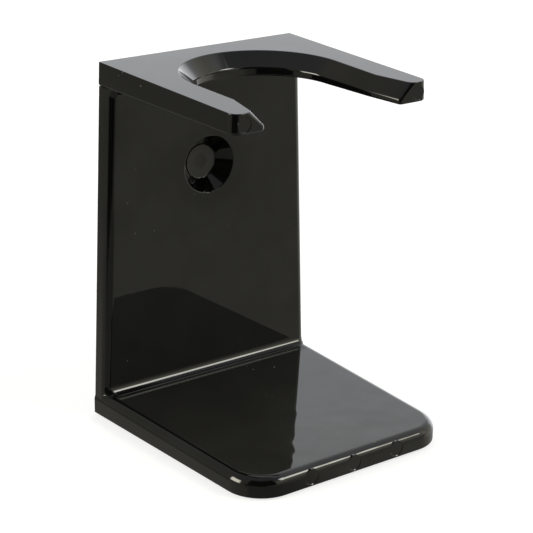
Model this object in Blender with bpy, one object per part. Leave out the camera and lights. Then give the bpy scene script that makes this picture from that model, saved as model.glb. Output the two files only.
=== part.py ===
"""A free-standing bathroom stand for a shaving brush or a razor.

A C-shaped stand: a weighty base, an upright back panel and a forked cradle at the top, whose
U-shaped opening has a sloping seat. Three black mouldings are keyed together by tongues in
slots, and four soft pads are let into the underside of the base.

Frame: +Z up, the open front of the C faces -Y, X runs across. The origin is on the plane
that the pads stand on, under the middle of the base. The functions below work from the rear
face and from the base's underside, and every object is then placed by its location.
"""

import math

import bmesh
import bpy
from mathutils import Matrix, Vector

MM = 0.001

# Driving dimensions, in millimetres.
PAD_PROUD = 0.5          # how far the pads lift the base
BODY_HEIGHT = 105.0      # from the underside of the base to the top at the rear
FIT_GAP = 0.3            # between two pieces that touch

REAR_WIDTH_TOP = 66.4    # across the rear face, top and bottom: the sides splay outwards
REAR_WIDTH_FOOT = 74.6
PANEL_THICKNESS_FOOT = 5.2
PANEL_THICKNESS_HEAD = 5.9
PANEL_EDGE_FLAT = 2.9    # flat strip down each side; the rest of the thickness is rounded

BASE_DEPTH = 74.9
BASE_FRONT_WIDTH = 70.0
BASE_CORNER_RADIUS = 11.1
BASE_REAR_THICKNESS = 7.0
BASE_FRONT_THICKNESS = 5.75
BASE_EDGE_RADIUS = 2.8
BASE_FILLET_RADIUS = 2.7
REBATE_HEIGHT = 4.9      # the panel stands in a rebate along the rear of the base

CRADLE_DEPTH = 63.0
CRADLE_FRONT_WIDTH = 65.0
CRADLE_REAR_THICKNESS = 6.8
CRADLE_TIP_THICKNESS = 5.6
CRADLE_TIP_DROP = 1.7    # the top slopes down this far to the tips
CRADLE_FILLET_RADIUS = 2.8
TIP_OUTER_RADIUS = 2.9
TIP_INNER_RADIUS = (1.3, 2.6)    # these pairs are at the wall, and at the top of the seat

THROAT_CENTRE_Y = -32.9  # middle of the round back of the U
THROAT_RADIUS = 20.3     # vertical wall below the seat
SEAT_WIDTH = 3.8         # how far the seat runs outwards from the wall
SEAT_DEPTH = 4.2         # how far the seat drops from the top face
FLARE_START_Y = -50.5    # the arms run straight to here, then open outwards
FLARE_START_X = (21.3, 23.85)
FLARE_END_X = (22.5, 26.2)

DISH_HEIGHT = 71.2       # centre of the round dish in the panel, above the base's underside
DISH_MOUTH_RADIUS = 8.6
DISH_FLOOR_RADIUS = 5.0
DISH_DEPTH = 4.0

TONGUE_WIDTH = 50.0
TONGUE_THICKNESS = 2.4
TONGUE_HEIGHT = 2.6
TONGUE_Y = -2.9          # middle of the tongue's thickness

PAD_RADIUS = 4.5
PAD_THICKNESS = 1.2
PAD_REAR = (27.0, -11.0)
PAD_FRONT = (24.0, -63.0)

CORNER_STEPS = 8
ROUND_STEPS = 48
THROAT_STEPS = 32

parts = None
cutters = None


def clear_scene():
    for obj in list(bpy.data.objects):
        bpy.data.objects.remove(obj, do_unlink=True)


def make_collections():
    global parts, cutters
    parts = bpy.data.collections.new("brush_stand")
    cutters = bpy.data.collections.new("cutters")
    bpy.context.scene.collection.children.link(parts)
    bpy.context.scene.collection.children.link(cutters)


def principled(name, colour, roughness):
    material = bpy.data.materials.new(name)
    material.use_nodes = True
    shader = material.node_tree.nodes["Principled BSDF"]
    shader.inputs["Base Color"].default_value = (*colour, 1.0)
    shader.inputs["Roughness"].default_value = roughness
    shader.inputs["Metallic"].default_value = 0.0
    return material


def cradle_black():
    return principled("cradle_black", (0.006, 0.006, 0.007), 0.07)


def panel_black():
    return principled("panel_black", (0.005, 0.005, 0.005), 0.05)


def base_black():
    return principled("base_black", (0.005, 0.005, 0.005), 0.06)


def pad_grey(name):
    return principled(name, (0.03, 0.03, 0.03), 0.75)


def blend(start, end, amount):
    return start + (end - start) * amount


def half_width(z):
    """Half the width across the rear face at height z above the base's underside."""
    return 0.5 * blend(REAR_WIDTH_FOOT, REAR_WIDTH_TOP, z / BODY_HEIGHT)


def base_top(y):
    return blend(BASE_REAR_THICKNESS, BASE_FRONT_THICKNESS, -y / BASE_DEPTH)


def cradle_top(y):
    return BODY_HEIGHT - CRADLE_TIP_DROP * (-y / CRADLE_DEPTH)


def cradle_bottom(y):
    return cradle_top(y) - blend(CRADLE_REAR_THICKNESS, CRADLE_TIP_THICKNESS, -y / CRADLE_DEPTH)


def panel_thickness(z):
    return blend(PANEL_THICKNESS_FOOT, PANEL_THICKNESS_HEAD, z / BODY_HEIGHT)


def arc(centre, radius, start, end, steps):
    """Points on an arc, in degrees from start to end, both ends included."""
    points = []
    for step in range(steps + 1):
        angle = math.radians(blend(start, end, step / steps))
        points.append((centre[0] + radius * math.cos(angle), centre[1] + radius * math.sin(angle)))
    return points


def loft(name, rings, collection):
    """A closed solid through a stack of like rings of points, capped at both ends."""
    bm = bmesh.new()
    loops = []
    for ring in rings:
        loops.append([bm.verts.new(Vector(point) * MM) for point in ring])
    bm.faces.new(loops[0])
    bm.faces.new(loops[-1])
    count = len(loops[0])
    for lower, upper in zip(loops, loops[1:]):
        for index in range(count):
            after = (index + 1) % count
            bm.faces.new((lower[index], lower[after], upper[after], upper[index]))
    bmesh.ops.recalc_face_normals(bm, faces=bm.faces)
    return add_object(name, bm, collection)


def add_object(name, bm, collection):
    mesh = bpy.data.meshes.new(name)
    bm.to_mesh(mesh)
    bm.free()
    obj = bpy.data.objects.new(name, mesh)
    collection.objects.link(obj)
    obj.location = (0.0, BASE_DEPTH / 2 * MM, PAD_PROUD * MM)
    if collection is cutters:
        obj.hide_render = True
        obj.display_type = "WIRE"
    return obj


def box(name, low, high, collection):
    bm = bmesh.new()
    size = Vector(high) - Vector(low)
    middle = (Vector(high) + Vector(low)) * 0.5
    matrix = Matrix.Translation(middle * MM) @ Matrix.Diagonal((*(size * MM), 1.0))
    bmesh.ops.create_cube(bm, size=1.0, matrix=matrix)
    return add_object(name, bm, collection)


def boolean(obj, cutter, operation):
    modifier = obj.modifiers.new(cutter.name, "BOOLEAN")
    modifier.operation = operation
    modifier.solver = "EXACT"
    modifier.object = cutter


def finish(obj, material):
    obj.data.materials.append(material)
    obj.data.shade_smooth()
    obj.data.set_sharp_from_angle(angle=math.radians(30.0))


def mirror_outline(right_half):
    """Close a right-hand half outline, listed rear to front, with its mirror image."""
    left_half = [(-x, y) for x, y in reversed(right_half) if abs(x) > 1e-6]
    return right_half + left_half


def base_outline():
    half_front = BASE_FRONT_WIDTH / 2
    centre = (half_front - BASE_CORNER_RADIUS, BASE_CORNER_RADIUS - BASE_DEPTH)
    corner = arc(centre, BASE_CORNER_RADIUS, 0.0, -90.0, CORNER_STEPS)
    return mirror_outline([(REAR_WIDTH_FOOT / 2, 0.0)] + corner)


def round_top_edges(obj, radius, height_of):
    """Round the edges of the top face, apart from the one along the rear."""
    bm = bmesh.new()
    bm.from_mesh(obj.data)
    rim = []
    for edge in bm.edges:
        ends = [vert.co / MM for vert in edge.verts]
        on_top = all(abs(co.z - height_of(co.y)) < 0.01 for co in ends)
        at_rear = all(abs(co.y) < 0.01 for co in ends)
        if on_top and not at_rear:
            rim.append(edge)
    bmesh.ops.bevel(bm, geom=rim, offset=radius * MM, offset_type="OFFSET", segments=5,
                    profile=0.5, affect="EDGES", clamp_overlap=False)
    bm.to_mesh(obj.data)
    bm.free()


def fillet_rib(name, face_y, surface_z, radius, direction):
    """The material of a concave fillet in front of the panel.

    direction is +1 for a fillet that climbs from the base and -1 for one that hangs from
    the cradle. The rib reaches 1 mm into the piece that it belongs to.
    """
    back = face_y - FIT_GAP
    centre = (face_y - radius, surface_z + direction * radius)
    reach = math.degrees(math.asin((back - centre[0]) / radius))
    curve = arc(centre, radius, -90.0 * direction, (reach - 90.0) * direction, CORNER_STEPS)
    sunk = surface_z - direction * 1.0
    profile = [(centre[0], sunk)] + curve + [(back, sunk)]
    inset = PANEL_THICKNESS_FOOT - PANEL_EDGE_FLAT if direction > 0 else 0.4
    half = half_width(surface_z) - inset
    ends = [[(x, y, z) for y, z in profile] for x in (-half, half)]
    return loft(name, ends, cutters)


def make_base():
    outline = base_outline()
    underside = [(x, y, 0.0) for x, y in outline]
    top = [(x, y, base_top(y)) for x, y in outline]
    base = loft("base", [underside, top], parts)
    round_top_edges(base, BASE_EDGE_RADIUS, base_top)

    face_y = -PANEL_THICKNESS_FOOT
    rib = fillet_rib("base_fillet", face_y, base_top(face_y), BASE_FILLET_RADIUS, 1)
    boolean(base, rib, "UNION")

    rebate = box("base_rebate", (-60, face_y - FIT_GAP, REBATE_HEIGHT), (60, 10, 30), cutters)
    boolean(base, rebate, "DIFFERENCE")

    slot = slot_cutter("base_slot", REBATE_HEIGHT - TONGUE_HEIGHT - FIT_GAP, REBATE_HEIGHT + 5)
    boolean(base, slot, "DIFFERENCE")

    for name, x, y in pad_places():
        pocket = disc("pocket_" + name, x, y, PAD_RADIUS + FIT_GAP, -5.0,
                      PAD_THICKNESS - PAD_PROUD + FIT_GAP, cutters)
        boolean(base, pocket, "DIFFERENCE")
    finish(base, base_black())


def slot_cutter(name, low, high):
    half = TONGUE_WIDTH / 2 + FIT_GAP
    thick = TONGUE_THICKNESS / 2 + FIT_GAP
    return box(name, (-half, TONGUE_Y - thick, low), (half, TONGUE_Y + thick, high), cutters)


def tongue(name, low, high):
    half = TONGUE_WIDTH / 2
    thick = TONGUE_THICKNESS / 2
    return box(name, (-half, TONGUE_Y - thick, low), (half, TONGUE_Y + thick, high), cutters)


def disc(name, x, y, radius, low, high, collection):
    bm = bmesh.new()
    place = Matrix.Translation(Vector((x, y, (low + high) / 2)) * MM)
    bmesh.ops.create_cone(bm, cap_ends=True, segments=ROUND_STEPS, radius1=radius * MM,
                          radius2=radius * MM, depth=(high - low) * MM, matrix=place)
    return add_object(name, bm, collection)


def pad_places():
    return (
        ("pad_rear_left", -PAD_REAR[0], PAD_REAR[1]),
        ("pad_rear_right", PAD_REAR[0], PAD_REAR[1]),
        ("pad_front_left", -PAD_FRONT[0], PAD_FRONT[1]),
        ("pad_front_right", PAD_FRONT[0], PAD_FRONT[1]),
    )


def make_pads():
    for name, x, y in pad_places():
        pad = disc(name, x, y, PAD_RADIUS, -PAD_PROUD, PAD_THICKNESS - PAD_PROUD, parts)
        finish(pad, pad_grey(name + "_rubber"))


def panel_ring(z):
    """The panel in plan at height z: square at the rear, rounded at the front."""
    half = half_width(z)
    radius = panel_thickness(z) - PANEL_EDGE_FLAT
    corner = arc((half - radius, -PANEL_EDGE_FLAT), radius, 0.0, -90.0, CORNER_STEPS)
    return [(x, y, z) for x, y in mirror_outline([(half, 0.0)] + corner)]


def make_panel():
    low = REBATE_HEIGHT + FIT_GAP
    high = cradle_bottom(-PANEL_THICKNESS_HEAD) - FIT_GAP
    panel = loft("back_panel", [panel_ring(low), panel_ring(high)], parts)
    lower = tongue("lower_tongue", REBATE_HEIGHT - TONGUE_HEIGHT, REBATE_HEIGHT + 3)
    boolean(panel, lower, "UNION")
    upper = tongue("upper_tongue", high - 3, high + FIT_GAP + TONGUE_HEIGHT)
    boolean(panel, upper, "UNION")
    boolean(panel, dish_cutter(), "DIFFERENCE")
    finish(panel, panel_black())


def dish_cutter():
    """A round cutter that is widest at the panel's front face and runs on past it."""
    slope = (DISH_MOUTH_RADIUS - DISH_FLOOR_RADIUS) / DISH_DEPTH
    overrun = 2.0
    face_y = -panel_thickness(DISH_HEIGHT)
    front = face_y - overrun
    floor = face_y + DISH_DEPTH
    bm = bmesh.new()
    turn = Matrix.Rotation(math.radians(-90.0), 4, "X")
    place = Matrix.Translation(Vector((0, (front + floor) / 2, DISH_HEIGHT)) * MM)
    bmesh.ops.create_cone(bm, cap_ends=True, segments=ROUND_STEPS,
                          radius1=(DISH_MOUTH_RADIUS + slope * overrun) * MM,
                          radius2=DISH_FLOOR_RADIUS * MM, depth=(floor - front) * MM,
                          matrix=place @ turn)
    return add_object("dish", bm, cutters)


def cradle_outline(rise):
    """The fork in plan: rise is 0 on the throat's wall and 1 at the top of the seat."""
    half_front = CRADLE_FRONT_WIDTH / 2
    tip_y = -CRADLE_DEPTH
    outer_centre = (half_front - TIP_OUTER_RADIUS, tip_y + TIP_OUTER_RADIUS)
    inner_radius = blend(*TIP_INNER_RADIUS, rise)
    inner_centre = (blend(*FLARE_END_X, rise) + inner_radius, tip_y + inner_radius)
    flare_start = (blend(*FLARE_START_X, rise), FLARE_START_Y)
    throat = THROAT_RADIUS + SEAT_WIDTH * rise
    right_half = [(REAR_WIDTH_TOP / 2, 0.0)]
    right_half += arc(outer_centre, TIP_OUTER_RADIUS, 0.0, -90.0, CORNER_STEPS)
    right_half += arc(inner_centre, inner_radius, 270.0, 190.0, CORNER_STEPS)
    right_half += [flare_start]
    right_half += arc((0.0, THROAT_CENTRE_Y), throat, 0.0, 90.0, THROAT_STEPS // 2)
    return mirror_outline(right_half)


def cradle_ring(rise, height_of):
    """The fork's outline on a sloping level, its sides splayed out below the top."""
    ring = []
    for x, y in cradle_outline(rise):
        z = height_of(y)
        on_side = abs(x) > CRADLE_FRONT_WIDTH / 2 - TIP_OUTER_RADIUS and y > -CRADLE_DEPTH
        splay = half_width(z) - half_width(BODY_HEIGHT) if on_side else 0.0
        ring.append((x + math.copysign(splay, x), y, z))
    return ring


def seat_foot(y):
    return cradle_top(y) - SEAT_DEPTH


def make_cradle():
    rings = [
        cradle_ring(0.0, cradle_bottom),
        cradle_ring(0.0, seat_foot),
        cradle_ring(1.0, cradle_top),
    ]
    cradle = loft("cradle", rings, parts)
    face_y = -panel_thickness(BODY_HEIGHT - CRADLE_REAR_THICKNESS)
    rib = fillet_rib("cradle_fillet", face_y, cradle_bottom(face_y), CRADLE_FILLET_RADIUS, -1)
    boolean(cradle, rib, "UNION")
    low = cradle_bottom(0.0)
    slot = slot_cutter("cradle_slot", low - 5, low + TONGUE_HEIGHT + FIT_GAP)
    boolean(cradle, slot, "DIFFERENCE")
    finish(cradle, cradle_black())


def main():
    clear_scene()
    make_collections()
    make_base()
    make_panel()
    make_cradle()
    make_pads()


main()
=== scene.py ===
"""The looks of a gloss black shaving-brush stand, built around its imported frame.

Lengths are in millimetres until they reach a mesh. Pieces are modelled from the rear face
(y = 0, the open front of the C faces -Y) and from the underside of the base (z = 0), and
every piece is then placed by its location, which comes from the frame's own box.
"""

import math

import bmesh
import bpy
from mathutils import Matrix, Vector


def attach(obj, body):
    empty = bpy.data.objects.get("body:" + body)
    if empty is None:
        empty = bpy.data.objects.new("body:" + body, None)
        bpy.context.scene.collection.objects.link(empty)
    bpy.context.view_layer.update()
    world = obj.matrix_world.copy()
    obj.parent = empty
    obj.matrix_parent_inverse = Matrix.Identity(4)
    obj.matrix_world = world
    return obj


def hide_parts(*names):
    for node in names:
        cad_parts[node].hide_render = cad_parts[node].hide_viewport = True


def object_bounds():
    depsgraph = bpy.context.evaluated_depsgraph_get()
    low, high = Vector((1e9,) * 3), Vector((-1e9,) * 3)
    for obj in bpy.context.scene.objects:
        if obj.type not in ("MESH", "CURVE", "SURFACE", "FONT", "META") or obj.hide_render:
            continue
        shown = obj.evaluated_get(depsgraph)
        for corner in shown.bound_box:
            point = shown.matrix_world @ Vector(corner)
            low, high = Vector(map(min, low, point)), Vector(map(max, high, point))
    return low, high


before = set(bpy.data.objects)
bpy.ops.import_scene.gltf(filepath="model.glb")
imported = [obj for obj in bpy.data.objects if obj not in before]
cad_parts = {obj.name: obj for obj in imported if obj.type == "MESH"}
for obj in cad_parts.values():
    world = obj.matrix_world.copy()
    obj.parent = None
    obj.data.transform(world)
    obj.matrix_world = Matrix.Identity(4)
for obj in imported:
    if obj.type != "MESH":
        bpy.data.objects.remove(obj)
cad_low, cad_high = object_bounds()

MM = 0.001

BODY_HEIGHT = 105.0
REAR_WIDTH_TOP = 66.4
REAR_WIDTH_FOOT = 74.6

PANEL_THICKNESS_FOOT = 5.2
PANEL_THICKNESS_HEAD = 5.9
PANEL_EDGE_FLAT = 2.9        # depth of the flat strip down the panel's side
PANEL_SIDE_INSET = 0.12      # the panel's sides sit this far inside the base's

BASE_DEPTH = 74.9
BASE_FRONT_WIDTH = 70.0
BASE_CORNER_RADIUS = 11.1
BASE_REAR_THICKNESS = 7.0
BASE_FRONT_THICKNESS = 5.75
BASE_EDGE_RADIUS = 2.8
BASE_FILLET_RADIUS = 2.7
BASE_FILLET_END_Y = -8.0     # where the panel's lower fillet runs out on the base
BASE_FOOT_RADIUS = 0.3
REBATE_HEIGHT = 4.9          # the panel stands in a rebate along the rear of the base

CRADLE_DEPTH = 62.6
CRADLE_FRONT_WIDTH = 65.0
CRADLE_REAR_THICKNESS = 6.8
CRADLE_TIP_THICKNESS = 5.6
CRADLE_TIP_DROP = 1.7
CRADLE_FILLET_RADIUS = 2.8
CRADLE_TOP_ROUND = 0.2
CRADLE_FOOT_ROUND = 0.55
TIP_OUTER_RADIUS = 2.9
TIP_INNER_RADIUS = (1.3, 2.6)    # at the wall, and at the top of the seat

THROAT_CENTRE_Y = -32.9      # middle of the round back of the U
THROAT_RADIUS = 20.3         # vertical wall below the seat
SEAT_WIDTH = 3.8
SEAT_DEPTH = 4.2
SEAT_FOOT_RADIUS = 1.1
FLARE_START_Y = -50.5
FLARE_START_X = (21.3, 23.85)    # half the opening at the wall, and at the top of the seat
FLARE_END_X = (22.5, 26.2)

DISH_HEIGHT = 71.2
DISH_MOUTH_RADIUS = 8.6
DISH_FLOOR_RADIUS = 5.0
DISH_DEPTH = 4.4
DISH_RIM_RADIUS = 0.7        # rounding at the mouth
DISH_FOOT_RADIUS = 1.1       # rounding where the wall meets the floor
GATE_RADIUS = 2.4            # dimple in the middle of the dish
GATE_DEPTH = 0.2

PAD_PROUD = 0.5
PAD_RADIUS = 4.5
PAD_THICKNESS = 1.2
PAD_RIM_RADIUS = 0.35
PAD_RING_DEPTH = 0.12        # shallow ring moulded in the sole
POCKET_GAP = 0.3
PAD_REAR = (27.0, -11.0)
PAD_FRONT = (24.0, -63.0)

PIN_DEPTH = 0.14             # round marks of the ejector pins
PIN_EDGE = 0.18
PIN_ROOT = 3.2               # how far a mark's disc reaches back into the body
BASE_PIN_RADIUS = 2.2
BASE_PIN_X = (-14.8, 0.0, 15.2)
BASE_PIN_HEIGHT = 2.9
TIP_PIN_RADIUS = 2.0
TIP_PIN_X = 29.2
TIP_PIN_HEIGHT = 100.3

CUTTER_REACH = 3.0           # how far a cutter stands out from the face it cuts

FOOT_STEPS = 3
CORNER_STEPS = 20
THROAT_STEPS = 96
ROUND_STEPS = 96
FILLET_STEPS = 16
RIM_STEPS = 24
SEAT_STEPS = 8
DISH_STEPS = 6
PAD_STEPS = 4


# ---------------------------------------------------------------- shapes in plan and height

def blend(start, end, amount):
    return start + (end - start) * amount


def half_width(z):
    return 0.5 * blend(REAR_WIDTH_FOOT, REAR_WIDTH_TOP, z / BODY_HEIGHT)


def base_top(y):
    return blend(BASE_REAR_THICKNESS, BASE_FRONT_THICKNESS, -y / BASE_DEPTH)


def cradle_top(y):
    return BODY_HEIGHT - CRADLE_TIP_DROP * (-y / CRADLE_DEPTH)


def cradle_bottom(y):
    return cradle_top(y) - blend(CRADLE_REAR_THICKNESS, CRADLE_TIP_THICKNESS, -y / CRADLE_DEPTH)


def panel_thickness(z):
    return blend(PANEL_THICKNESS_FOOT, PANEL_THICKNESS_HEAD, z / BODY_HEIGHT)


def arc(centre, radius, start, end, steps):
    points = []
    for step in range(steps + 1):
        angle = math.radians(blend(start, end, step / steps))
        points.append((centre[0] + radius * math.cos(angle), centre[1] + radius * math.sin(angle)))
    return points


def mirror_outline(right_half):
    left_half = [(-x, y) for x, y in reversed(right_half) if abs(x) > 1e-6]
    return right_half + left_half


def base_outline(inset):
    """The base in plan, drawn in by inset at the sides and the front."""
    radius = BASE_CORNER_RADIUS - inset
    centre = (BASE_FRONT_WIDTH / 2 - BASE_CORNER_RADIUS, BASE_CORNER_RADIUS - BASE_DEPTH)
    rear = (REAR_WIDTH_FOOT / 2 - inset, 0.0)
    reach = math.hypot(rear[0] - centre[0], rear[1] - centre[1])
    bearing = math.atan2(rear[1] - centre[1], rear[0] - centre[0])
    tangent = math.degrees(bearing - math.acos(radius / reach))
    corner = arc(centre, radius, tangent, -90.0, CORNER_STEPS)
    return mirror_outline([rear] + corner)


def base_rings():
    """From the underside up: a small rounded foot, a plain wall, then the rounded rim."""
    rings = []
    for step in range(FOOT_STEPS + 1):
        angle = math.radians(90.0 * step / FOOT_STEPS)
        inset = BASE_FOOT_RADIUS * (1 - math.sin(angle))
        rise = BASE_FOOT_RADIUS * (1 - math.cos(angle))
        rings.append([(x, y, rise) for x, y in base_outline(inset)])
    for step in range(RIM_STEPS + 1):
        angle = math.radians(90.0 * step / RIM_STEPS)
        inset = BASE_EDGE_RADIUS * (1 - math.cos(angle))
        drop = BASE_EDGE_RADIUS * (1 - math.sin(angle))
        rings.append([(x, y, base_top(y) - drop) for x, y in base_outline(inset)])
    return rings


def panel_ring(flare, height_of):
    """The panel in plan: its front swells by flare and its corner radius grows with it."""
    z_middle = height_of(-PANEL_THICKNESS_FOOT)
    half = half_width(z_middle) - PANEL_SIDE_INSET
    front = panel_thickness(z_middle)
    radius = front - PANEL_EDGE_FLAT + flare
    centre = (half - radius, radius - flare - front)
    corner = arc(centre, radius, 0.0, -90.0, CORNER_STEPS)
    return [(x, y, height_of(y)) for x, y in mirror_outline([(half, 0.0)] + corner)]


def cradle_outline(rise):
    """The cradle in plan: rise is 0 on the throat's wall and 1 at the top of the seat."""
    half_front = CRADLE_FRONT_WIDTH / 2
    tip_y = -CRADLE_DEPTH
    outer_centre = (half_front - TIP_OUTER_RADIUS, tip_y + TIP_OUTER_RADIUS)
    flare_start = (blend(*FLARE_START_X, rise), FLARE_START_Y)
    flare_end_x = blend(*FLARE_END_X, rise)
    inner_radius = blend(*TIP_INNER_RADIUS, rise)
    inner_centre = (flare_end_x + inner_radius, tip_y + inner_radius)
    reach = math.hypot(flare_start[0] - inner_centre[0], flare_start[1] - inner_centre[1])
    bearing = math.atan2(flare_start[1] - inner_centre[1], flare_start[0] - inner_centre[0])
    tangent = math.degrees(bearing + math.acos(inner_radius / reach))
    right_half = [(REAR_WIDTH_TOP / 2, 0.0)]
    right_half += arc(outer_centre, TIP_OUTER_RADIUS, 0.0, -90.0, CORNER_STEPS)
    right_half += arc(inner_centre, inner_radius, 270.0, tangent % 360.0, CORNER_STEPS)
    right_half += [flare_start]
    throat = THROAT_RADIUS + SEAT_WIDTH * rise
    right_half += arc((0.0, THROAT_CENTRE_Y), throat, 0.0, 90.0, THROAT_STEPS // 2)
    return mirror_outline(right_half)


def cradle_ring(rise, height_of):
    ring = []
    for x, y in cradle_outline(rise):
        z = height_of(y)
        on_side = abs(x) > CRADLE_FRONT_WIDTH / 2 - TIP_OUTER_RADIUS and y > -CRADLE_DEPTH
        splay = half_width(z) - half_width(BODY_HEIGHT) if on_side else 0.0
        ring.append((x + math.copysign(splay, x), y, z))
    return ring


def cradle_rings():
    """From the underside up: the wall, the seat's rounded foot, and the slope of the seat."""
    rings = [cradle_ring(0.0, cradle_bottom)]
    lean = math.atan2(SEAT_WIDTH, SEAT_DEPTH)
    run = SEAT_FOOT_RADIUS * math.tan(lean / 2)
    for step in range(SEAT_STEPS + 1):
        angle = lean * step / SEAT_STEPS
        out = SEAT_FOOT_RADIUS * (1 - math.cos(angle))
        down = SEAT_DEPTH + run - SEAT_FOOT_RADIUS * math.sin(angle)
        rings.append(cradle_ring(out / SEAT_WIDTH, lambda y, d=down: cradle_top(y) - d))
    rings.append(cradle_ring(1.0, cradle_top))
    return rings


# ---------------------------------------------------------------- mesh building

def add_object(name, bm):
    bmesh.ops.recalc_face_normals(bm, faces=bm.faces)
    mesh = bpy.data.meshes.new(name)
    bm.to_mesh(mesh)
    bm.free()
    obj = bpy.data.objects.new(name, mesh)
    bpy.context.scene.collection.objects.link(obj)
    obj.location = (0.0, cad_high.y, cad_low.z + PAD_PROUD * MM)
    return obj


def loft_mesh(rings):
    bm = bmesh.new()
    loops = []
    for ring in rings:
        loops.append([bm.verts.new(Vector(point) * MM) for point in ring])
    bm.faces.new(loops[0])
    bm.faces.new(loops[-1])
    count = len(loops[0])
    for lower, upper in zip(loops, loops[1:]):
        for index in range(count):
            after = (index + 1) % count
            bm.faces.new((lower[index], lower[after], upper[after], upper[index]))
    bmesh.ops.recalc_face_normals(bm, faces=bm.faces)
    return bm


def lathe(name, profile, axis_point, axis):
    """A turned solid: profile points are (radius, distance along the axis)."""
    turn = Vector((0, 0, 1)).rotation_difference(Vector(axis)).to_matrix().to_4x4()
    place = Matrix.Translation(Vector(axis_point)) @ turn
    bm = bmesh.new()
    rings = []
    for radius, along in profile:
        if radius < 1e-6:
            rings.append([bm.verts.new((place @ Vector((0, 0, along))) * MM)])
            continue
        ring = []
        for step in range(ROUND_STEPS):
            angle = 2 * math.pi * step / ROUND_STEPS
            point = Vector((radius * math.cos(angle), radius * math.sin(angle), along))
            ring.append(bm.verts.new((place @ point) * MM))
        rings.append(ring)
    for first, second in zip(rings, rings[1:]):
        for step in range(ROUND_STEPS):
            after = (step + 1) % ROUND_STEPS
            corners = [first[step % len(first)], first[after % len(first)],
                       second[after % len(second)], second[step % len(second)]]
            face = list(dict.fromkeys(corners))
            bm.faces.new(face)
    return add_object(name, bm)


def bevel(bm, edges, width, segments):
    bmesh.ops.bevel(bm, geom=edges, offset=width * MM, offset_type="OFFSET", segments=segments,
                    profile=0.5, affect="EDGES", clamp_overlap=False)


def edges_where(bm, test):
    """Edges whose ends, in millimetres, all pass the test."""
    return [edge for edge in bm.edges if all(test(vert.co / MM) for vert in edge.verts)]


def on_level(height_of):
    slack = 0.004
    return lambda co: abs(co.z - height_of(co.y)) < slack


def boolean(obj, cutter, operation):
    """Apply a Boolean at once and remove the cutter."""
    modifier = obj.modifiers.new("cut", "BOOLEAN")
    modifier.operation = operation
    modifier.solver = "EXACT"
    modifier.object = cutter
    bpy.context.view_layer.update()
    graph = bpy.context.evaluated_depsgraph_get()
    mesh = bpy.data.meshes.new_from_object(obj.evaluated_get(graph))
    obj.modifiers.clear()
    obj.data = mesh
    bpy.data.objects.remove(cutter, do_unlink=True)


def shade(obj, sharp_angle):
    obj.data.shade_smooth()
    obj.data.set_sharp_from_angle(angle=math.radians(sharp_angle))
    weigh = obj.modifiers.new("weigh", "WEIGHTED_NORMAL")
    weigh.mode = "FACE_AREA"
    weigh.weight = 100
    weigh.keep_sharp = True


def dress(obj, node, material):
    obj.data.materials.clear()
    obj.data.materials.append(material)
    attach(obj, "root")
    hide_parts(node)


# ---------------------------------------------------------------- pieces

def panel_blank(name):
    """The upright panel, swelling into a concave fillet at the foot and at the head."""
    rings = [panel_ring(BASE_FILLET_RADIUS, lambda y: REBATE_HEIGHT)]
    for step in range(FILLET_STEPS + 1):
        angle = math.radians(90.0 * step / FILLET_STEPS)
        rise = BASE_FILLET_RADIUS * (1 - math.cos(angle))
        flare = BASE_FILLET_RADIUS * (1 - math.sin(angle))
        rings.append(panel_ring(flare, lambda y, r=rise: base_top(BASE_FILLET_END_Y) + r))
    for step in range(FILLET_STEPS + 1):
        angle = math.radians(90.0 * (1 - step / FILLET_STEPS))
        drop = CRADLE_FILLET_RADIUS * (1 - math.cos(angle))
        flare = CRADLE_FILLET_RADIUS * (1 - math.sin(angle))
        rings.append(panel_ring(flare, lambda y, d=drop: cradle_bottom(y) - d))
    return add_object(name, loft_mesh(rings))


def dish_profile():
    """Radius and depth from in front of the panel's face to the floor's middle."""
    slope = math.atan2(DISH_MOUTH_RADIUS - DISH_FLOOR_RADIUS, DISH_DEPTH)
    wall = math.pi / 2 - slope
    profile = [(0.0, -CUTTER_REACH), (DISH_MOUTH_RADIUS + 1.0, -CUTTER_REACH)]
    rim_run = DISH_RIM_RADIUS * math.tan(wall / 2)
    for step in range(DISH_STEPS + 1):
        angle = wall * step / DISH_STEPS
        radius = DISH_MOUTH_RADIUS + rim_run - DISH_RIM_RADIUS * math.sin(angle)
        profile.append((radius, DISH_RIM_RADIUS * (1 - math.cos(angle))))
    foot_run = DISH_FOOT_RADIUS * math.tan(wall / 2)
    for step in range(DISH_STEPS + 1):
        angle = wall * (1 - step / DISH_STEPS)
        radius = DISH_FLOOR_RADIUS - foot_run + DISH_FOOT_RADIUS * math.sin(angle)
        profile.append((radius, DISH_DEPTH - DISH_FOOT_RADIUS * (1 - math.cos(angle))))
    for step in range(DISH_STEPS + 1):
        inward = step / DISH_STEPS
        sag = GATE_DEPTH * (1 - math.cos(math.pi * inward)) / 2
        profile.append((GATE_RADIUS * (1 - inward), DISH_DEPTH + sag))
    return profile


def make_panel(material):
    panel = panel_blank("panel_moulding")
    cutter = lathe("dish", dish_profile(), (0.0, -panel_thickness(DISH_HEIGHT), DISH_HEIGHT),
                   (0, 1, 0))
    boolean(panel, cutter, "DIFFERENCE")
    shade(panel, 40.0)
    dress(panel, "back_panel", material)
    return panel


def pin_mark(obj, x, z, radius, face_y):
    """A round pin's mark: a flat disc sunk in the face, and proud where the face rounds off."""
    point = (x, face_y, z)
    disc = [(0.0, PIN_DEPTH), (radius, PIN_DEPTH), (radius, PIN_ROOT), (0.0, PIN_ROOT)]
    boolean(obj, lathe("disc", disc, point, (0, 1, 0)), "UNION")
    mouth = radius + PIN_EDGE
    sunk = [(0.0, -CUTTER_REACH), (mouth, -CUTTER_REACH), (mouth, -0.02), (radius, PIN_DEPTH),
            (0.0, PIN_DEPTH)]
    boolean(obj, lathe("sunk", sunk, point, (0, 1, 0)), "DIFFERENCE")


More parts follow.
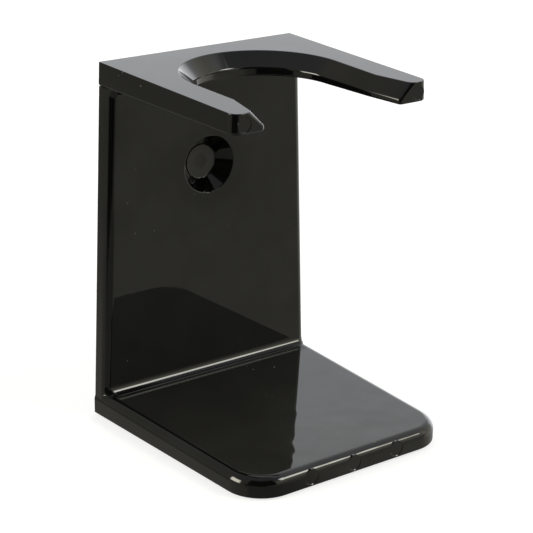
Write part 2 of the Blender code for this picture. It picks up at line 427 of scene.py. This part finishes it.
def make_base(material):
    bm = loft_mesh(base_rings())
    base = add_object("base_moulding", bm)
    for x in BASE_PIN_X:
        pin_mark(base, x, BASE_PIN_HEIGHT, BASE_PIN_RADIUS, -BASE_DEPTH)
    boolean(base, panel_blank("rebate"), "DIFFERENCE")
    for x, y in pad_places().values():
        radius = PAD_RADIUS + POCKET_GAP
        depth = PAD_THICKNESS - PAD_PROUD + POCKET_GAP
        profile = [(0.0, -CUTTER_REACH), (radius, -CUTTER_REACH), (radius, depth), (0.0, depth)]
        boolean(base, lathe("pocket", profile, (x, y, 0.0), (0, 0, 1)), "DIFFERENCE")
    shade(base, 34.0)
    dress(base, "base", material)
    return base


def make_cradle(material):
    bm = loft_mesh(cradle_rings())
    bevel(bm, edges_where(bm, on_level(cradle_top)), CRADLE_TOP_ROUND, 3)
    bevel(bm, edges_where(bm, on_level(cradle_bottom)), CRADLE_FOOT_ROUND, 6)
    cradle = add_object("cradle_moulding", bm)
    for side in (-1, 1):
        pin_mark(cradle, side * TIP_PIN_X, TIP_PIN_HEIGHT, TIP_PIN_RADIUS, -CRADLE_DEPTH)
    shade(cradle, 34.0)
    dress(cradle, "cradle", material)
    return cradle


def pad_places():
    return {
        "pad_rear_left": (-PAD_REAR[0], PAD_REAR[1]),
        "pad_rear_right": (PAD_REAR[0], PAD_REAR[1]),
        "pad_front_left": (-PAD_FRONT[0], PAD_FRONT[1]),
        "pad_front_right": (PAD_FRONT[0], PAD_FRONT[1]),
    }


def make_pads(material):
    """Soft feet: a flat back, a rounded rim and a shallow ring moulded in the sole."""
    profile = [(0.0, PAD_THICKNESS), (PAD_RADIUS - 0.1, PAD_THICKNESS),
               (PAD_RADIUS, PAD_THICKNESS - 0.1)]
    rim_centre = PAD_RADIUS - PAD_RIM_RADIUS
    for step in range(PAD_STEPS + 1):
        angle = math.pi / 2 * step / PAD_STEPS
        profile.append((rim_centre + PAD_RIM_RADIUS * math.cos(angle),
                        PAD_RIM_RADIUS * (1 - math.sin(angle))))
    profile += [(3.0, 0.0), (2.8, PAD_RING_DEPTH), (2.2, PAD_RING_DEPTH), (2.0, 0.0), (0.0, 0.0)]
    for node, (x, y) in pad_places().items():
        pad = lathe(node + "_rubber", profile, (x, y, -PAD_PROUD), (0, 0, 1))
        shade(pad, 50.0)
        dress(pad, node, material)


# ---------------------------------------------------------------- materials

class Nodes:
    """Short calls for adding and joining shader nodes."""

    def __init__(self, tree):
        self.tree = tree

    def add(self, kind, **settings):
        node = self.tree.nodes.new(kind)
        for key, value in settings.items():
            setattr(node, key, value)
        return node

    def link(self, output, target):
        self.tree.links.new(output, target)

    def split(self, vector):
        node = self.add("ShaderNodeSeparateXYZ")
        self.link(vector, node.inputs[0])
        return node.outputs

    def value(self, source, target):
        if isinstance(source, (int, float)):
            target.default_value = source
        else:
            self.link(source, target)

    def math(self, operation, first, second=0.0, third=None, clamp=False):
        node = self.add("ShaderNodeMath", operation=operation, use_clamp=clamp)
        self.value(first, node.inputs[0])
        self.value(second, node.inputs[1])
        if third is not None:
            self.value(third, node.inputs[2])
        return node.outputs[0]

    def smooth(self, source, low, high, out_low=0.0, out_high=1.0):
        node = self.add("ShaderNodeMapRange", interpolation_type="SMOOTHSTEP")
        self.value(source, node.inputs["Value"])
        node.inputs["From Min"].default_value = low
        node.inputs["From Max"].default_value = high
        node.inputs["To Min"].default_value = out_low
        node.inputs["To Max"].default_value = out_high
        return node.outputs[0]

    def noise(self, vector, scale, detail=2.0, roughness=0.5):
        node = self.add("ShaderNodeTexNoise")
        self.link(vector, node.inputs["Vector"])
        node.inputs["Scale"].default_value = scale
        node.inputs["Detail"].default_value = detail
        node.inputs["Roughness"].default_value = roughness
        return node.outputs["Fac"]


def around_dish(nodes, place):
    """Distance from the dish's axis in millimetres, for the reflection painted darker around it."""
    x, y, z = nodes.split(place)
    across = nodes.math("DIVIDE", x, MM)
    up = nodes.math("SUBTRACT", nodes.math("DIVIDE", z, MM), DISH_HEIGHT)
    square = nodes.math("ADD", nodes.math("MULTIPLY", across, across),
                        nodes.math("MULTIPLY", up, up))
    return nodes.math("SQRT", square)


def dish_floor_painted_light(nodes, place):
    """Painted light: the floor of the dish is painted lighter, and less over its dimple."""
    rear_skin = 0.8
    radius = around_dish(nodes, place)
    disc = nodes.smooth(radius, DISH_FLOOR_RADIUS - 0.6, DISH_FLOOR_RADIUS, 1.0, 0.0)
    front = nodes.math("LESS_THAN", nodes.split(place)["Y"], -rear_skin * MM)
    disc = nodes.math("MULTIPLY", disc, front)
    less_over_dimple = nodes.smooth(radius, GATE_RADIUS - 0.8, GATE_RADIUS + 0.6, 0.3, 1.0)
    return nodes.math("MULTIPLY", disc, less_over_dimple)


def base_haze(nodes, place):
    """Dust on the base, thicker towards the open front."""
    forward = nodes.smooth(nodes.split(place)["Y"], -10.0 * MM, -66.0 * MM, 0.13, 0.46)
    cloud = nodes.smooth(nodes.noise(place, 60.0, 3.0), 0.3, 0.7, 0.75, 1.25)
    facing = nodes.split(nodes.add("ShaderNodeNewGeometry").outputs["Normal"])
    top = nodes.smooth(facing["Z"], 0.96, 0.995)
    return nodes.math("MULTIPLY", nodes.math("MULTIPLY", forward, cloud), top)


def clear_of_sides(nodes, x):
    """1 across most of the panel's width, and 0 near its two sides."""
    return nodes.smooth(nodes.math("ABSOLUTE", x), 34.8 * MM, 33.6 * MM)


def base_corner_rough_and_shaded(nodes, place):
    """1 on the base in the corner below the panel, which is rougher there and has its reflection
    painted darker (painted shade), and 0 elsewhere.
    """
    x, y, z = nodes.split(place)
    corner = nodes.smooth(y, -12.5 * MM, -8.5 * MM)
    return nodes.math("MULTIPLY", clear_of_sides(nodes, x), corner)


def panel_foot_rough_and_shaded(nodes, place):
    """1 on the foot of the panel's lower fillet, which is rougher there and has its reflection
    painted darker (painted shade), and 0 above it.
    """
    x, y, z = nodes.split(place)
    foot = nodes.smooth(z, 8.0 * MM, 7.5 * MM)
    return nodes.math("MULTIPLY", clear_of_sides(nodes, x), foot)


def front_wave(nodes, place):
    """1 along the open front of the base, where the skin is least flat, and 0 behind."""
    return nodes.smooth(nodes.split(place)["Y"], -34.0 * MM, -54.0 * MM)


def gloss_black(name, colour, sink_depth, dust, painted_dark_ring_mask=None, ripple=None, dust_and_painted_light=None,
                root=None):
    """Polished black plastic: sink marks, wipe marks and dust, with some painted light and shade.

    The four optional mask builders, in order, give a reflection painted darker around the dish,
    a wavier skin, a tint that is dust on the base and painted light on the dish floor, and a
    rougher corner with its reflection painted darker.
    """
    material = bpy.data.materials.new(name)
    material.use_nodes = True
    nodes = Nodes(material.node_tree)
    shader = material.node_tree.nodes["Principled BSDF"]
    shader.inputs["IOR"].default_value = 1.5
    place = nodes.add("ShaderNodeTexCoord").outputs["Object"]

    slow = nodes.noise(place, 38.0, 1.0)
    peel = nodes.noise(place, 900.0, 2.0)
    smear = nodes.noise(place, 120.0, 4.0, 0.6)
    speck = nodes.add("ShaderNodeTexVoronoi", feature="F1")
    nodes.link(place, speck.inputs["Vector"])
    speck.inputs["Scale"].default_value = 260.0
    patch = nodes.noise(place, 55.0, 2.0)
    size = nodes.smooth(patch, 0.52, 0.66, 0.0, 0.085)
    near = nodes.math("LESS_THAN", speck.outputs["Distance"], size)
    grain = nodes.math("MULTIPLY", near, dust)

    tint = nodes.add("ShaderNodeMix", data_type="RGBA")
    nodes.link(grain, tint.inputs["Factor"])
    tint.inputs["A"].default_value = (*colour, 1.0)
    # A lighter tint: dust on the base, and painted light on the dish floor.
    if dust_and_painted_light is not None:
        dust_and_light_tint = nodes.add("ShaderNodeMix", data_type="RGBA")
        nodes.link(dust_and_painted_light(nodes, place), dust_and_light_tint.inputs["Factor"])
        dust_and_light_tint.inputs["A"].default_value = (*colour, 1.0)
        dust_and_light_tint.inputs["B"].default_value = (0.027, 0.0267, 0.023, 1.0)
        nodes.link(dust_and_light_tint.outputs["Result"], tint.inputs["A"])
    tint.inputs["B"].default_value = (0.10, 0.10, 0.095, 1.0)
    nodes.link(tint.outputs["Result"], shader.inputs["Base Color"])

    cloud = nodes.noise(place, 70.0, 3.0, 0.55)
    sheen = nodes.smooth(cloud, 0.3, 0.7, 0.46, 0.54)
    # Painted shade: the reflection is painted weaker in a ring around the dish.
    if painted_dark_ring_mask is not None:
        painted_dark_ring = nodes.smooth(painted_dark_ring_mask(nodes, place), 9.0, 17.0, 0.88, 1.0)
        sheen = nodes.math("MULTIPLY", sheen, painted_dark_ring)
    rough = nodes.smooth(smear, 0.35, 0.75, 0.015, 0.05)
    # Painted shade: the corner under the panel is made rougher and its reflection is halved.
    if root is not None:
        corner_rough_and_shade = root(nodes, place)
        rough = nodes.math("MULTIPLY_ADD", corner_rough_and_shade, 0.13, rough)
        sheen = nodes.math("MULTIPLY", sheen, nodes.smooth(corner_rough_and_shade, 0.0, 1.0, 1.0, 0.5))
    nodes.link(sheen, shader.inputs["Specular IOR Level"])
    rough = nodes.math("MAXIMUM", rough, nodes.math("MULTIPLY", grain, 0.5))
    nodes.link(rough, shader.inputs["Roughness"])

    wave = nodes.add("ShaderNodeBump")
    wave.inputs["Strength"].default_value = 1.0
    wave.inputs["Distance"].default_value = sink_depth * MM
    nodes.link(slow, wave.inputs["Height"])
    skin = nodes.add("ShaderNodeBump")
    skin.inputs["Strength"].default_value = 1.0
    skin.inputs["Distance"].default_value = 0.0002 * MM
    nodes.link(peel, skin.inputs["Height"])
    normal = wave.outputs["Normal"]
    if ripple is not None:
        swell = nodes.add("ShaderNodeBump")
        swell.inputs["Distance"].default_value = 0.16 * MM
        nodes.link(ripple(nodes, place), swell.inputs["Strength"])
        nodes.link(nodes.noise(place, 95.0, 1.0), swell.inputs["Height"])
        nodes.link(normal, swell.inputs["Normal"])
        normal = swell.outputs["Normal"]
    nodes.link(normal, skin.inputs["Normal"])
    nodes.link(skin.outputs["Normal"], shader.inputs["Normal"])
    return material


def rubber():
    material = bpy.data.materials.new("pad_rubber")
    material.use_nodes = True
    nodes = Nodes(material.node_tree)
    shader = material.node_tree.nodes["Principled BSDF"]
    place = nodes.add("ShaderNodeTexCoord").outputs["Object"]
    grain = nodes.noise(place, 2600.0, 3.0)
    ramp = nodes.add("ShaderNodeValToRGB")
    nodes.link(grain, ramp.inputs["Fac"])
    ramp.color_ramp.elements[0].color = (0.016, 0.016, 0.016, 1.0)
    ramp.color_ramp.elements[1].color = (0.045, 0.045, 0.044, 1.0)
    nodes.link(ramp.outputs["Color"], shader.inputs["Base Color"])
    nodes.value(nodes.smooth(grain, 0.3, 0.7, 0.65, 0.85), shader.inputs["Roughness"])
    bump = nodes.add("ShaderNodeBump")
    bump.inputs["Distance"].default_value = 0.03 * MM
    nodes.link(grain, bump.inputs["Height"])
    nodes.link(bump.outputs["Normal"], shader.inputs["Normal"])
    return material


# ---------------------------------------------------------------- studio

def window(nodes, azimuth, elevation, centre, half_size, soft):
    """A soft-edged rectangle of light in azimuth and elevation, all in degrees."""
    mask = None
    for angle, middle, half in ((azimuth, centre[0], half_size[0]),
                                (elevation, centre[1], half_size[1])):
        away = nodes.math("ABSOLUTE", nodes.math("SUBTRACT", angle, middle))
        side = nodes.smooth(away, half, half + soft, 1.0, 0.0)
        mask = side if mask is None else nodes.math("MULTIPLY", mask, side)
    return mask


def make_world():
    """A white studio: a pale backdrop, two soft lamps, and a dim room behind the camera."""
    world = bpy.data.worlds.new("studio")
    bpy.context.scene.world = world
    world.use_nodes = True
    nodes = Nodes(world.node_tree)
    background = world.node_tree.nodes["Background"]
    direction = nodes.add("ShaderNodeTexCoord").outputs["Generated"]
    x, y, z = nodes.split(direction)
    azimuth = nodes.math("DEGREES", nodes.math("ARCTAN2", x, nodes.math("MULTIPLY", y, -1.0)))
    elevation = nodes.math("DEGREES", nodes.math("ARCSINE", z))

    level = 0.37
    for centre, half_size, soft, strength in (
            ((50.0, -18.0), (44.0, 22.0), 25.0, 0.11),    # pale floor on the right
            ((118.0, 26.0), (52.0, 38.0), 16.0, 0.55),    # backdrop
            ((160.0, 22.0), (32.0, 34.0), 14.0, 0.27),    # its lighter middle
            ((118.0, 2.0), (10.0, 12.0), 10.0, 1.2),      # its bright right end
            ((41.0, 42.0), (6.0, 4.5), 8.0, 12.5),        # key lamp
            ((38.0, 27.0), (20.0, 4.0), 20.0, 0.75),      # the key lamp's spill
            ((-38.0, -30.0), (30.0, 24.0), 12.0, -0.12),  # darker floor in front
            ((-144.0, -12.0), (10.0, 2.5), 7.0, -0.15),   # a dark edge at the rear left
            ((-110.0, 15.0), (12.0, 10.0), 8.0, 11.0)):   # fill lamp
        lit = window(nodes, azimuth, elevation, centre, half_size, soft)
        level = nodes.math("ADD", level, nodes.math("MULTIPLY", lit, strength))
    for centre, half_size, soft in (((-32.0, 33.0), (36.0, 22.0), 9.0),    # the dim room
                                    ((-50.0, -5.0), (27.0, 9.0), 6.0)):    # and its floor
        dim = window(nodes, azimuth, elevation, centre, half_size, soft)
        level = nodes.math("MULTIPLY", level, nodes.smooth(dim, 0.0, 1.0, 1.0, 0.08))
    nodes.link(level, background.inputs["Strength"])
    tone = nodes.add("ShaderNodeMix", data_type="RGBA")
    behind = nodes.math("MULTIPLY", nodes.smooth(y, -0.1, 0.3), nodes.smooth(x, -0.3, 0.1))
    cool = nodes.math("MAXIMUM", behind, nodes.smooth(z, 0.6, 0.8))
    nodes.link(cool, tone.inputs["Factor"])
    tone.inputs["A"].default_value = (1.0, 0.98, 0.84, 1.0)
    tone.inputs["B"].default_value = (0.985, 1.0, 1.03, 1.0)
    nodes.link(tone.outputs["Result"], background.inputs["Color"])


def make_floor():
    """A plain pale floor, lighter to the camera than it is in reflections."""
    bm = bmesh.new()
    bmesh.ops.create_grid(bm, x_segments=1, y_segments=1, size=6.0)
    mesh = bpy.data.meshes.new("floor")
    bm.to_mesh(mesh)
    bm.free()
    floor = bpy.data.objects.new("floor", mesh)
    bpy.context.scene.collection.objects.link(floor)
    floor.location = (0.0, 0.0, cad_low.z - 0.00002)
    material = bpy.data.materials.new("floor_white")
    material.use_nodes = True
    nodes = Nodes(material.node_tree)
    material.node_tree.nodes.remove(material.node_tree.nodes["Principled BSDF"])
    output = material.node_tree.nodes["Material Output"]
    matt = nodes.add("ShaderNodeBsdfDiffuse")
    matt.inputs["Color"].default_value = (0.42, 0.418, 0.412, 1.0)
    lift = nodes.add("ShaderNodeEmission")
    lift.inputs["Color"].default_value = (1.0, 1.0, 1.0, 1.0)
    rays = nodes.add("ShaderNodeLightPath").outputs
    nodes.link(nodes.math("MULTIPLY", rays["Is Camera Ray"], 0.72), lift.inputs["Strength"])
    both = nodes.add("ShaderNodeAddShader")
    nodes.link(matt.outputs[0], both.inputs[0])
    nodes.link(lift.outputs[0], both.inputs[1])
    # Reflections show the world through the floor, apart from a grey patch by the near corner.
    x, y, z = nodes.split(nodes.add("ShaderNodeTexCoord").outputs["Object"])
    near = nodes.math("MULTIPLY", nodes.smooth(x, 0.0, -20.0 * MM),
                      nodes.smooth(x, -190.0 * MM, -140.0 * MM))
    ahead = nodes.math("MULTIPLY", nodes.smooth(y, -35.5 * MM, -37.5 * MM),
                       nodes.smooth(y, -190.0 * MM, -140.0 * MM))
    patch = nodes.add("ShaderNodeMixShader")
    nodes.link(nodes.math("MULTIPLY", near, ahead), patch.inputs[0])
    nodes.link(nodes.add("ShaderNodeBsdfTransparent").outputs[0], patch.inputs[1])
    grey = nodes.add("ShaderNodeEmission")
    grey.inputs["Color"].default_value = (1.0, 0.98, 0.84, 1.0)
    grey.inputs["Strength"].default_value = 0.25
    nodes.link(grey.outputs[0], patch.inputs[2])
    switch = nodes.add("ShaderNodeMixShader")
    nodes.link(rays["Is Glossy Ray"], switch.inputs[0])
    nodes.link(both.outputs[0], switch.inputs[1])
    nodes.link(patch.outputs[0], switch.inputs[2])
    nodes.link(switch.outputs[0], output.inputs["Surface"])
    mesh.materials.append(material)


def make_camera():
    """A long lens from the front left, a little above the stand."""
    azimuth = math.radians(-37.14)
    elevation = math.radians(19.85)
    roll = math.radians(0.65)
    position = Vector((-281.9, -406.0, 216.5)) * MM
    origin = Vector((0.0, cad_high.y, cad_low.z + PAD_PROUD * MM))
    data = bpy.data.cameras.new("camera")
    data.sensor_width = 36.0
    data.lens = 118.3745
    data.clip_start = 0.01
    data.clip_end = 50.0
    camera = bpy.data.objects.new("camera", data)
    bpy.context.scene.collection.objects.link(camera)
    look = Vector((-math.sin(azimuth) * math.cos(elevation),
                   math.cos(azimuth) * math.cos(elevation), -math.sin(elevation)))
    aim = look.to_track_quat("-Z", "Y").to_matrix().to_4x4()
    camera.matrix_world = Matrix.Translation(origin + position) @ aim @ Matrix.Rotation(roll, 4, "Z")
    bpy.context.scene.camera = camera


def main():
    cradle_black = gloss_black("cradle_black", (0.0026, 0.0026, 0.0027), 0.012, 0.5)
    panel_black = gloss_black("panel_black", (0.0026, 0.0026, 0.0026), 0.010, 0.5,
                              painted_dark_ring_mask=around_dish, dust_and_painted_light=dish_floor_painted_light, root=panel_foot_rough_and_shaded)
    base_black = gloss_black("base_black", (0.0026, 0.0026, 0.0026), 0.020, 1.2,
                             ripple=front_wave, dust_and_painted_light=base_haze, root=base_corner_rough_and_shaded)
    make_panel(panel_black)
    make_base(base_black)
    make_cradle(cradle_black)
    make_pads(rubber())
    make_world()
    make_floor()
    make_camera()
    bpy.context.scene.view_settings.view_transform = "Standard"


main()
